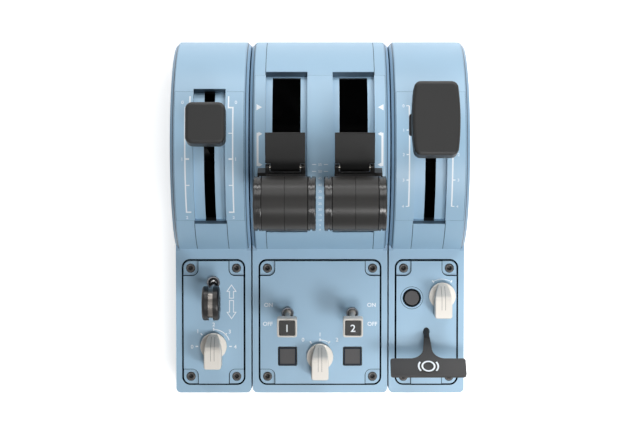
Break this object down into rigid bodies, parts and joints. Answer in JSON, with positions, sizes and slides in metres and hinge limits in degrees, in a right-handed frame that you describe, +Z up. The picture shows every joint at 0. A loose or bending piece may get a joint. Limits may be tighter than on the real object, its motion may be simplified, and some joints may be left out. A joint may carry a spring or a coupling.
{
  "type": "throttle quadrant",
  "caption": "Desktop flight-simulator throttle quadrant: three arched lever modules side by side with low control decks carrying knobs, toggles and buttons.",
  "frame": {"origin": "centre of the footprint at the bottom of the rubber feet", "axes": "+Z up, +Y forward away from the user, +X to the user's right"},
  "size_m": [0.1862, 0.2284, 0.1522],
  "materials": {
    "blue_plastic": "satin",
    "black_metal": "matte",
    "axle_steel": "satin",
    "screw_steel": "satin",
    "foot_rubber": "matte",
    "brass": "satin",
    "circuit_board": "satin",
    "switch_plastic": "matte",
    "lever_aluminium": "satin",
    "knob_plastic": "matte",
    "grip_plastic": "satin",
    "cap_gloss": "gloss",
    "beige_plastic": "satin",
    "toggle_metal": "satin",
    "legend_plastic": "matte",
    "button_plastic": "matte",
    "washer_plastic": "satin"
  },
  "bodies": {
    "base": {"left_housing": "blue_plastic", "centre_housing": "blue_plastic", "right_housing": "blue_plastic", "left_bottom_cover": "black_metal", "centre_bottom_cover": "black_metal", "right_bottom_cover": "black_metal", "cover_screws": "screw_steel", "rubber_feet": "foot_rubber", "joining_plates": "black_metal", "threaded_inserts": "brass", "left_scale_plates": "blue_plastic", "centre_scale_plates": "blue_plastic", "right_scale_plates": "blue_plastic", "slot_guides": "blue_plastic", "left_faceplate": "blue_plastic", "centre_faceplate": "blue_plastic", "right_faceplate": "blue_plastic", "faceplate_screws": "screw_steel", "left_lever_frame": "black_metal", "centre_lever_frame": "black_metal", "right_lever_frame": "black_metal", "lever_axles": "axle_steel", "axle_washers": "washer_plastic", "circuit_boards": "circuit_board", "usb_port": "axle_steel", "rotary_switches": "switch_plastic", "push_switches": "switch_plastic", "toggle_switches": "toggle_metal", "park_brake_bearing": "switch_plastic"},
    "speedbrake_lever": {"speedbrake_arm": "lever_aluminium"},
    "speedbrake_grip": {"speedbrake_knob": "knob_plastic"},
    "flap_lever": {"flap_arm": "lever_aluminium", "flap_knob": "knob_plastic"},
    "flap_latch": {"flap_collar": "knob_plastic"},
    "gear_selector": {"gear_lever": "axle_steel", "gear_wheel": "cap_gloss"},
    "autobrake_selector": {"autobrake_knob": "beige_plastic"},
    "mode_selector": {"mode_knob": "beige_plastic"},
    "trim_selector": {"trim_knob": "beige_plastic"},
    "left_push_button": {"square_button_1": "button_plastic"},
    "right_push_button": {"square_button_2": "button_plastic"},
    "reset_push_button": {"reset_button": "button_plastic"},
    "park_brake": {"park_brake_handle": "knob_plastic"},
    "thrust_lever_1": {"thrust_arm_1": "lever_aluminium", "grip_shells_1": "grip_plastic", "grip_caps_1": "cap_gloss", "reverse_pin_1": "axle_steel"},
    "reverse_1": {"reverse_lever_1": "lever_aluminium"},
    "disconnect_1": {"disconnect_button_1": "cap_gloss"},
    "master_1": {"master_lever_1": "toggle_metal", "master_legend_1": "legend_plastic"},
    "thrust_lever_2": {"thrust_arm_2": "lever_aluminium", "grip_shells_2": "grip_plastic", "grip_caps_2": "cap_gloss", "reverse_pin_2": "axle_steel"},
    "reverse_2": {"reverse_lever_2": "lever_aluminium"},
    "disconnect_2": {"disconnect_button_2": "cap_gloss"},
    "master_2": {"master_lever_2": "toggle_metal", "master_legend_2": "legend_plastic"}
  },
  "joints": [
    {"name": "speedbrake", "type": "hinge", "parent": "base", "child": "speedbrake_lever", "pos_m": [-0.0688, 0.04495, 0.024], "axis": [1, 0, 0], "range_deg": [-17, 45]},
    {"name": "speedbrake_arm_lift", "type": "slide", "parent": "speedbrake_lever", "child": "speedbrake_grip", "axis": [0, 0.1045, 0.9945], "range_m": [0, 0.005]},
    {"name": "flap", "type": "hinge", "parent": "base", "child": "flap_lever", "pos_m": [0.0688, 0.04495, 0.024], "axis": [1, 0, 0], "range_deg": [-17, 45]},
    {"name": "flap_latch_lift", "type": "slide", "parent": "flap_lever", "child": "flap_latch", "axis": [0, 0.1097, 0.994], "range_m": [0, 0.005], "stiffness_N_per_m": 60},
    {"name": "thrust_1", "type": "hinge", "parent": "base", "child": "thrust_lever_1", "pos_m": [-0.0209, 0.04495, 0.024], "axis": [1, 0, 0], "range_deg": [-50, 25]},
    {"name": "reverse_1_pull", "type": "hinge", "parent": "thrust_lever_1", "child": "reverse_1", "pos_m": [-0.0209, 0.02941, 0.12214], "axis": [1, 0, 0], "range_deg": [0, 25], "stiffness_Nm_per_rad": 0.02, "springref_deg": -17.19},
    {"name": "disconnect_1_press", "type": "slide", "parent": "thrust_lever_1", "child": "disconnect_1", "axis": [1, 0, 0], "range_m": [0, 0.0012], "stiffness_N_per_m": 800},
    {"name": "master_1_switch", "type": "hinge", "parent": "base", "child": "master_1", "pos_m": [-0.0209, -0.0624, 0.04158], "axis": [1, 0, 0], "range_deg": [-28.6, 0]},
    {"name": "thrust_2", "type": "hinge", "parent": "base", "child": "thrust_lever_2", "pos_m": [0.0209, 0.04495, 0.024], "axis": [1, 0, 0], "range_deg": [-50, 25]},
    {"name": "reverse_2_pull", "type": "hinge", "parent": "thrust_lever_2", "child": "reverse_2", "pos_m": [0.0209, 0.02941, 0.12214], "axis": [1, 0, 0], "range_deg": [0, 25], "stiffness_Nm_per_rad": 0.02, "springref_deg": -17.19},
    {"name": "disconnect_2_press", "type": "slide", "parent": "thrust_lever_2", "child": "disconnect_2", "axis": [-1, 0, 0], "range_m": [0, 0.0012], "stiffness_N_per_m": 800},
    {"name": "master_2_switch", "type": "hinge", "parent": "base", "child": "master_2", "pos_m": [0.0209, -0.0624, 0.04158], "axis": [1, 0, 0], "range_deg": [-28.6, 0]},
    {"name": "gear", "type": "hinge", "parent": "base", "child": "gear_selector", "pos_m": [-0.0688, -0.0426, 0.04219], "axis": [1, 0, 0], "range_deg": [-41.6, 0]},
    {"name": "autobrake_turn", "type": "hinge", "parent": "base", "child": "autobrake_selector", "pos_m": [-0.0688, -0.08372, 0.04139], "axis": [0, -0.0558, 0.9984], "range_deg": [-90, 90]},
    {"name": "mode_turn", "type": "hinge", "parent": "base", "child": "mode_selector", "pos_m": [0, -0.09061, 0.04101], "axis": [0, -0.0558, 0.9984], "range_deg": [-45, 45]},
    {"name": "trim_turn", "type": "hinge", "parent": "base", "child": "trim_selector", "pos_m": [0.07895, -0.05107, 0.04322], "axis": [0, -0.0558, 0.9984], "range_deg": [-45, 45], "stiffness_Nm_per_rad": 0.02},
    {"name": "left_button_press", "type": "slide", "parent": "base", "child": "left_push_button", "axis": [0, 0.0558, -0.9984], "range_m": [0, 0.0012], "stiffness_N_per_m": 600},
    {"name": "right_button_press", "type": "slide", "parent": "base", "child": "right_push_button", "axis": [0, 0.0558, -0.9984], "range_m": [0, 0.0012], "stiffness_N_per_m": 600},
    {"name": "reset_press", "type": "slide", "parent": "base", "child": "reset_push_button", "axis": [0, 0.0558, -0.9984], "range_m": [0, 0.0012], "stiffness_N_per_m": 600},
    {"name": "park_brake_turn", "type": "hinge", "parent": "base", "child": "park_brake", "pos_m": [0.0688, -0.07404, 0.04194], "axis": [0, -0.7157, 0.6984], "range_deg": [0, 90]}
  ]
}
